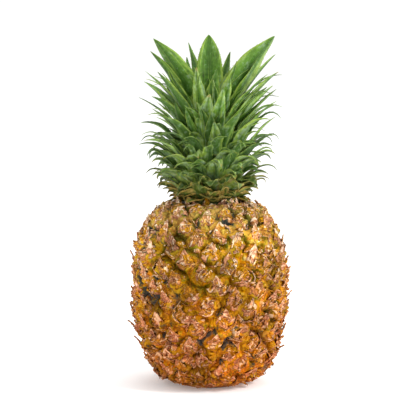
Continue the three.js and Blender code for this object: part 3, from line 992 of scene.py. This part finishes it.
def set_leaves():
    """The tall leaves at the crown's top and those that shape its sides, older the lower they start."""
    stem = neck_height() + GAP
    leaves = [dict(zip(LEAF_NAMES, row)) for row in SET_LEAVES]
    return [leaf | {"age": min(1, (leaf["z"] - stem) / CROWN_STEM_HEIGHT + 0.3)} for leaf in leaves]


def leaf_taper(s, fullness):
    """A leaf's width along its length, as a share of its full width. A fuller leaf stays broad further up."""
    return (0.74 + 0.26 * smoothstep(s / 0.3)) * (1 - s**fullness) ** 0.85


def add_leaf(mesh, leaf, number, rows, columns, tooth):
    """A channelled blade with a thick middle, thin waved edges and a fine point."""
    s = 1 - (1 - np.linspace(0, 1, rows)) ** 1.35
    blade = Blade(leaf, s)
    s = s[:, None]
    a = np.linspace(-1, 1, columns)[None, :]
    half = leaf["width"] / 2 * leaf_taper(s, leaf["full"]) + 0.12
    channel = half * lerp(*LEAF_CHANNEL, s)
    waves = 0.10 * np.sin(s * 19 + 6 * chance(number, 31) + 2.5 * a) * np.abs(a) ** 2
    waves = waves * half * smoothstep(s / 0.3)
    thick = LEAF_THICKNESS * lerp(1, LEAF_TIP_THICKNESS, s) * (1 - s**6)
    bend = np.abs(a) ** 1.5
    upper = blade.sheet(a * half, thick / 2 * (1 - bend) + channel * bend + waves + EDGE)
    lower = blade.sheet(a * half, -thick / 2 * (1 - bend) + channel * bend + waves - EDGE)
    ring = np.concatenate([upper, lower[:, ::-1]], axis=1)
    places = places_on(s, np.concatenate([a, a[:, ::-1]], axis=1))
    front = np.concatenate([0 * a + 1, 0 * a], axis=1) + 0 * s
    values = dict(age=leaf["age"], tone=chance(number, LEAF_TONE_KEY))
    mesh.add(ring, grid_faces(rows, 2 * columns, closed=True), **places, front=front, **values)
    add_teeth(mesh, leaf, number, tooth, values)


def add_teeth(mesh, leaf, number, tooth, values):
    """Small spines that point forward along both edges of a leaf."""
    span = math.hypot(leaf["tip_r"] - leaf["r"], leaf["tip_z"] - leaf["z"])
    count = max(4, int(span / TOOTH_STEP))
    s = (np.arange(count) + 0.5) / count * 0.72 + 0.2
    s = s + 0.3 / count * np.sin(np.arange(count) * 2.4 + number)
    blade = Blade(leaf, s)
    half = (leaf["width"] / 2 * leaf_taper(s, leaf["full"]) + 0.05)[:, None]
    channel = half * lerp(*LEAF_CHANNEL, s)[:, None]
    tooth = tooth * (1 - 0.5 * s)[:, None]
    for side in (-1, 1):
        edge = blade.middle + side * half * blade.across + channel * blade.face
        corners = [
            edge - 0.55 * tooth * blade.way,
            edge + 0.55 * tooth * blade.way,
            edge - 0.3 * side * tooth * blade.across - 0.16 * blade.face,
            edge + tooth * (0.85 * side * blade.across + 0.9 * blade.way + 0.2 * blade.face),
        ]
        points = turned(np.stack(corners, axis=1), blade.swing[:, None])
        first = np.arange(count)[:, None] * 4
        faces = np.concatenate([first + np.array(f) for f in ((0, 1, 3), (1, 2, 3), (2, 0, 3))])
        mesh.add(points, faces, along=np.repeat(s, 4), across=side * 1.0, front=1.0, **values)


def small_leaves():
    """Finer leaves between the crown's main ones, which fill its middle."""
    leaves = []
    for i in range(SMALL_LEAVES):
        leaf = rule_leaf(lerp(2, LEAVES - 8, (i + 0.5) / SMALL_LEAVES) + 0.5)
        k = SMALL_LEAF_KEY + i
        leaf["turn"] = (math.degrees(i * GOLDEN_ANGLE) + around(68, 25, chance(k, 50))) % 360
        leaf["turn_end"] = around(0, 16, chance(k, 33))
        leaf["roll"] = around(0, 30, chance(k, 34))
        size = around(0.64, 0.26, chance(k, 35))
        low = smoothstep((0.62 - i / SMALL_LEAVES) / 0.3)
        leaf["tip_steep"] = leaf["tip_steep"] - around(4, 22, chance(k, 48)) - 44 * low
        leaf["tip_r"] = leaf["r"] + (leaf["tip_r"] - leaf["r"]) * size
        leaf["tip_z"] = leaf["z"] + (leaf["tip_z"] - leaf["z"]) * size * (1 - 0.3 * low)
        leaf["width"] = leaf["width"] * around(0.62, 0.2, chance(k, 49)) * (1 + 0.6 * low)
        leaves.append(leaf)
    return leaves


def wisp_leaves():
    """Thin old leaves that stand out at the sides and droop at their ends."""
    leaves = []
    for i in range(WISPS):
        leaf = rule_leaf(lerp(2, LEAVES * 0.8, (i + 0.5) / WISPS))
        k = WISP_KEY + i
        leaf["turn"] = (math.degrees(i * GOLDEN_ANGLE) + 20) % 360
        leaf["turn_end"] = around(0, 22, chance(k, 42))
        leaf["roll"] = around(0, 40, chance(k, 43))
        reach = (leaf["tip_r"] - leaf["r"]) * around(1.14, 0.12, chance(k, 44))
        leaf["tip_r"] = min(WISP_REACH, leaf["r"] + reach)
        leaf["tip_steep"] = leaf["tip_steep"] - around(30, 18, chance(k, 45))
        leaf["width"] = around(5.5, 1.5, chance(k, 46))
        leaf["full"] = 1.25
        leaves.append(leaf)
    return leaves


def foot_leaves():
    """Short broad scales round the crown's foot, over the place where it meets the fruit."""
    stem = neck_height() + GAP
    leaves = []
    for i in range(FOOT_LEAVES):
        k = FOOT_LEAF_KEY + i
        row = i % 2
        leaves.append(
            dict(
                turn=360 * i / FOOT_LEAVES + around(0, 5, chance(k, 36)),
                turn_end=around(0, 12, chance(k, 37)),
                r=20.0 - row,
                z=stem + 1.4 + 2.6 * row,
                tip_r=31 + around(0, 3, chance(k, 38)) - row,
                tip_z=stem + 2.5 + 4.5 * row + around(0, 1.6, chance(k, 39)),
                steep=34 + 8 * row,
                tip_steep=around(-26, 24, chance(k, 40)),
                width=13.5,
                roll=around(0, 12, chance(k, 41)),
                full=2.2,
                age=-0.12,
            )
        )
    return leaves


def crown_mesh(settings):
    """The leaves that the solid has too, and the stem that they stand on."""
    mesh = Mesh()
    for number, leaf in enumerate(set_leaves() + [rule_leaf(i) for i in range(LEAVES)]):
        add_leaf(mesh, leaf, number, settings.rows, settings.columns, settings.tooth / MM)
    turn = round_turns(STEM_SIDES)
    low = neck_height() + GAP
    share = np.linspace(0, 1, STEM_ROWS)[:, None]
    r = lerp(CROWN_STEM_RADIUS, CROWN_STEM_TOP_RADIUS, share) * (1 + 0.03 * np.sin(7 * turn + 9 * share))
    points = stacked(r * np.cos(turn), r * np.sin(turn), low + CROWN_STEM_HEIGHT * share)
    faces = grid_faces(STEM_ROWS, STEM_SIDES, closed=True)
    mesh.add(points, faces, along=0.0, across=0.0, front=1.0, age=0.0, tone=0.5)
    return mesh


def fine_leaves_mesh(settings):
    """The leaves that the scene adds: the crown's small ones, its wisps and the scales at its foot."""
    mesh = Mesh()
    for number, leaf in enumerate(small_leaves() + wisp_leaves() + foot_leaves(), SMALL_LEAF_KEY):
        add_leaf(mesh, leaf, number, settings.fine_rows, settings.fine_columns, settings.tooth / MM)
    return mesh


def leaf_material(settings):
    """Green with a darker heart, pale streaks, flecks and margins, and a grey waxy bloom; olive where old;
    with painted shade in its grooves and at its base, and painted fill light on the lower and middle leaves.
    """
    shader = Shader("leaf")
    along_it, across, age, tone, front = shader.values("along", "across", "age", "tone", "front")
    lines = shader.noise(1.0, shader.vector(across * 14.0, along_it * 1.6, tone * 40.0), detail=5.0)
    ribs = shader.noise(1.0, shader.vector(across * 3.6, along_it * 0.9, tone * 90.0), detail=3.0)
    bands = shader.noise(1.0, shader.vector(across * 1.8, along_it * 9.0, tone * 40.0), detail=3.0)
    spots = shader.noise(0.003, detail=5.0)
    scurf = shader.noise(0.0016, detail=4.0, distortion=0.5)
    slant = shader.vector(across * 3.4 + along_it * 9.0, along_it * 12.0 - abs(across) * 3.0, tone * 70.0)
    flecks = shader.noise(1.0, slant, detail=4.0, distortion=0.6)
    patches = shader.noise(0.02, detail=3.0, distortion=0.5)
    own = tone - 0.5
    speckle = spots - 0.5
    side = abs(across)
    green = shader.mix((age + own * 0.7).between(0.2, 0.9), settings.deep, settings.fresh)
    green = shader.mix((0.3 - age + speckle * 0.4).between(0.0, 0.4) * 0.8, green, settings.olive)
    yellowed = (patches + own * 0.5 - abs(age - 0.45) * 0.3).between(0.54, 0.66)
    green = shader.mix(yellowed * 0.4, green, settings.margin)
    waxy = (bands + speckle * 0.9 - abs(age - 0.5) * 0.2 + own * 0.3).between(0.42, 0.78)
    green = shader.mix(waxy * (0.66 - front * 0.15), green, settings.bloom)
    heart = (1.1 - side * 1.7 + (flecks - 0.5) * 2.2 + (ribs - 0.5) * 0.8).between(0.3, 0.8)
    green = shader.mix(heart * (0.3 + age * 0.45), green, settings.heart)
    streak = (ribs + (lines - 0.5) * 0.3 + own * 0.1).between(0.56, 0.66)
    green = shader.mix(streak * (0.15 + side * 0.4), green, settings.margin)
    green = shader.mix((scurf + speckle * 0.4).between(0.6, 0.72) * 0.3, green, settings.bloom)
    # Painted shade in the grooves between the ribs
    groove_shade = (0.42 - ribs).between(0.0, 0.1) * 0.3
    light = 0.08 + lines * 0.3 + flecks * 1.3 + speckle * 1.3 + side * 0.16 - groove_shade + own * 0.16
    # Painted fill light on the lower and middle leaves against the shade among them, and darker on the top
    # leaves
    light = light + age.between(0.05, 0.45) * 0.36 - age.between(0.75, 1.0) * 0.23
    # Painted shade darkens the first fifth of each leaf, at its base
    green = shader.shade(green, light - (0.2 - along_it).between(0.0, 0.2) * 0.3)
    rim = (side + (lines - 0.5) * 0.3 + (flecks - 0.5) * 0.5 + (age - 0.6) * 0.12).between(0.8, 1.04)
    green = shader.mix(rim * 0.6, green, settings.margin)
    old = (0.36 - age).between(0.0, 0.4)
    dry_rim = (side * 0.35 + bands * 0.5 + patches * 0.8 + old * 0.2).between(1.0, 1.2) * old
    dry_tip = (along_it + speckle * 0.2 + own * 0.16 - age * 0.06).between(0.97, 1.05)
    green = shader.mix(dry_rim, green, settings.straw)
    green = shader.mix(dry_tip * tone.between(0.55, 0.8) * 0.7, green, settings.straw)
    normal = shader.bump(lines * 0.6 + ribs * 0.8 + flecks * 0.8 + scurf * 0.2, 0.0008, 0.9)
    rough = 0.42 + waxy * 0.2 + (scurf - 0.5) * 0.1
    return shader.finish(green, rough, normal, {"Specular IOR Level": 0.25})


class PINEAPPLE_OT_crown(bpy.types.Operator):
    """Makes the crown's leaves with their spines"""

    bl_idname = "pineapple.crown"
    bl_label = "Crown"

    def execute(self, context):
        settings = context.scene.pineapple_crown
        material = leaf_material(settings)
        crown_mesh(settings).piece("crown_leaves", material, "leaf", "crown")
        fine_leaves_mesh(settings).piece("fine_leaves", material, "leaf")
        return {"FINISHED"}


# Stalk

STALK_SIDES = 72
STALK_RINGS = 16
STALK_ROWS = 8


def stalk_mesh():
    """The cut end: a rough disc of fibres inside a harder ring, with its side going up into the fruit."""
    mesh = Mesh()
    turn = round_turns(STALK_SIDES)
    share = np.linspace(0, 1, STALK_RINGS)[:, None]
    r = STALK_RADIUS * share
    flat = stacked(r * np.cos(turn), r * np.sin(turn), 0.0)
    hollow = folds_at(flat, 1.6, 4.0) * smoothstep((1 - share) / 0.1) + smoothstep((0.9 - share) / 0.3)
    flat[..., 2] = np.clip(0.35 * hollow, 0, None)
    faces = grid_faces(STALK_RINGS, STALK_SIDES, closed=True)[:, ::-1]
    mesh.add(flat, faces, across=share + 0 * turn)
    rise = np.linspace(0, STALK_DEPTH, STALK_ROWS)[:, None]
    side = STALK_RADIUS * (1 - 0.008 * (1 + np.sin(18 * turn + rise)))
    side = np.where(rise > 0, side, STALK_RADIUS)
    wall = stacked(side * np.cos(turn), side * np.sin(turn), rise)
    mesh.add(wall, grid_faces(STALK_ROWS, STALK_SIDES, closed=True), across=1.0)
    return mesh


def stalk_material(settings):
    """Pale porous fibres, darker towards the rim."""
    shader = Shader("cut_stalk")
    (across,) = shader.values("across")
    pores = shader.noise(0.0008, detail=4.0)
    patches = shader.noise(0.005, detail=3.0)
    pith = shader.mix((across + (patches - 0.5) * 0.3).between(0.78, 0.98), settings.pith, settings.bark)
    pith = shader.shade(pith, 0.65 + pores * 0.5 + (patches - 0.5) * 0.3)
    return shader.finish(pith, 0.75 + pores * 0.15, shader.bump(pores, 0.0006, 0.8))


class PINEAPPLE_OT_stalk(bpy.types.Operator):
    """Makes the cut end of the stalk under the fruit"""

    bl_idname = "pineapple.stalk"
    bl_label = "Stalk"

    def execute(self, context):
        stalk_mesh().piece("cut_stalk", stalk_material(context.scene.pineapple_stalk), "cut_stalk", "stalk")
        return {"FINISHED"}


# Stage

PICTURE_MIDDLE = 0.1345  # metres up the fruit that the picture's middle shows
SENSOR_WIDTH = 36
SKY_STRENGTH = 1.06
FLOOR_SIDES = 96
FLOOR_RADIUS = 6
FLOOR_GLOW = 0.18
# Each light's name, place in metres, power in watts and size in metres
LIGHTS = (
    ("key", (1.9, -1.0, 1.7), 49, 0.7),
    ("fill", (-1.8, -1.4, 0.9), 1, 1.4),
    ("top", (0, 0.4, 2.2), 9, 1.2),
)


def add_light(name, place, power, size, target):
    """A square lamp that faces the target."""
    data = bpy.data.lights.new(name, "AREA")
    data.energy = power
    data.size = size
    light = bpy.data.objects.new(name, data)
    light.location = place
    light.rotation_euler = (target - Vector(place)).to_track_quat("-Z", "Y").to_euler()
    bpy.context.scene.collection.objects.link(light)


def floor_material(settings):
    """Plain matt white that glows a little, so that shadows on it stay faint."""
    shader = Shader("floor")
    grain = shader.noise(0.02, detail=2.0)
    base = shader.mix(grain * 0.04, settings.floor, (0.8, 0.8, 0.8, 1.0))
    normal = shader.bump(grain, 0.0002, 0.1)
    fixed = {"Specular IOR Level": 0.1, "Emission Color": settings.floor, "Emission Strength": FLOOR_GLOW}
    return shader.finish(base, 0.9 + (grain - 0.5) * 0.05, normal, fixed)


class PINEAPPLE_OT_stage(bpy.types.Operator):
    """Makes the floor, the light and the camera"""

    bl_idname = "pineapple.stage"
    bl_label = "Stage"

    def execute(self, context):
        settings = context.scene.pineapple_stage
        scene = context.scene
        bpy.ops.mesh.primitive_circle_add(vertices=FLOOR_SIDES, radius=FLOOR_RADIUS, fill_type="NGON")
        floor = context.object
        floor.name = "floor"
        floor.data.materials.append(floor_material(settings))
        world = bpy.data.worlds.new("studio")
        world.use_nodes = True
        sky = world.node_tree.nodes["Background"].inputs
        sky["Color"].default_value = (1.0, 1.0, 1.0, 1.0)
        sky["Strength"].default_value = SKY_STRENGTH
        scene.world = world
        target = Vector((0, 0, PICTURE_MIDDLE))
        for name, place, power, size in LIGHTS:
            add_light(name, place, power, size, target)
        data = bpy.data.cameras.new("camera")
        data.sensor_width = SENSOR_WIDTH
        data.lens = data.sensor_width * settings.distance / settings.view_width
        camera = bpy.data.objects.new("camera", data)
        away = Vector((0, -math.cos(settings.elevation), math.sin(settings.elevation)))
        camera.location = target + away * settings.distance
        camera.rotation_euler = (-away).to_track_quat("-Z", "Y").to_euler()
        scene.collection.objects.link(camera)
        scene.camera = camera
        scene.view_settings.view_transform = "Standard"
        return {"FINISHED"}


# Panel and registration


class PINEAPPLE_PT_pieces(bpy.types.Panel):
    """Lists the pieces of the pineapple"""

    bl_label = "Pineapple"
    bl_idname = "PINEAPPLE_PT_pieces"
    bl_space_type = "VIEW_3D"
    bl_region_type = "UI"
    bl_category = "Pineapple"

    def draw(self, context):
        for name, group in SETTINGS.items():
            box = self.layout.box()
            settings = getattr(context.scene, name)
            for key in group.__annotations__:
                box.prop(settings, key)
        for operator in OPERATORS:
            self.layout.operator(operator.bl_idname)


SETTINGS = {
    "pineapple_rind": PINEAPPLE_PG_rind,
    "pineapple_bract": PINEAPPLE_PG_bract,
    "pineapple_crown": PINEAPPLE_PG_crown,
    "pineapple_stalk": PINEAPPLE_PG_stalk,
    "pineapple_stage": PINEAPPLE_PG_stage,
}
OPERATORS = (
    PINEAPPLE_OT_stage,
    PINEAPPLE_OT_rind,
    PINEAPPLE_OT_bracts,
    PINEAPPLE_OT_dry_flowers,
    PINEAPPLE_OT_crown,
    PINEAPPLE_OT_stalk,
)
CLASSES = tuple(SETTINGS.values()) + OPERATORS + (PINEAPPLE_PT_pieces,)


def register():
    for made in CLASSES:
        bpy.utils.register_class(made)
    for name, group in SETTINGS.items():
        setattr(bpy.types.Scene, name, PointerProperty(type=group))


def unregister():
    for name in SETTINGS:
        delattr(bpy.types.Scene, name)
    for made in reversed(CLASSES):
        bpy.utils.unregister_class(made)


def main():
    register()
    bpy.ops.pineapple.stage()
    bpy.ops.pineapple.rind()
    bpy.ops.pineapple.bracts()
    bpy.ops.pineapple.dry_flowers()
    bpy.ops.pineapple.crown()
    bpy.ops.pineapple.stalk()


if __name__ == "__main__":
    main()
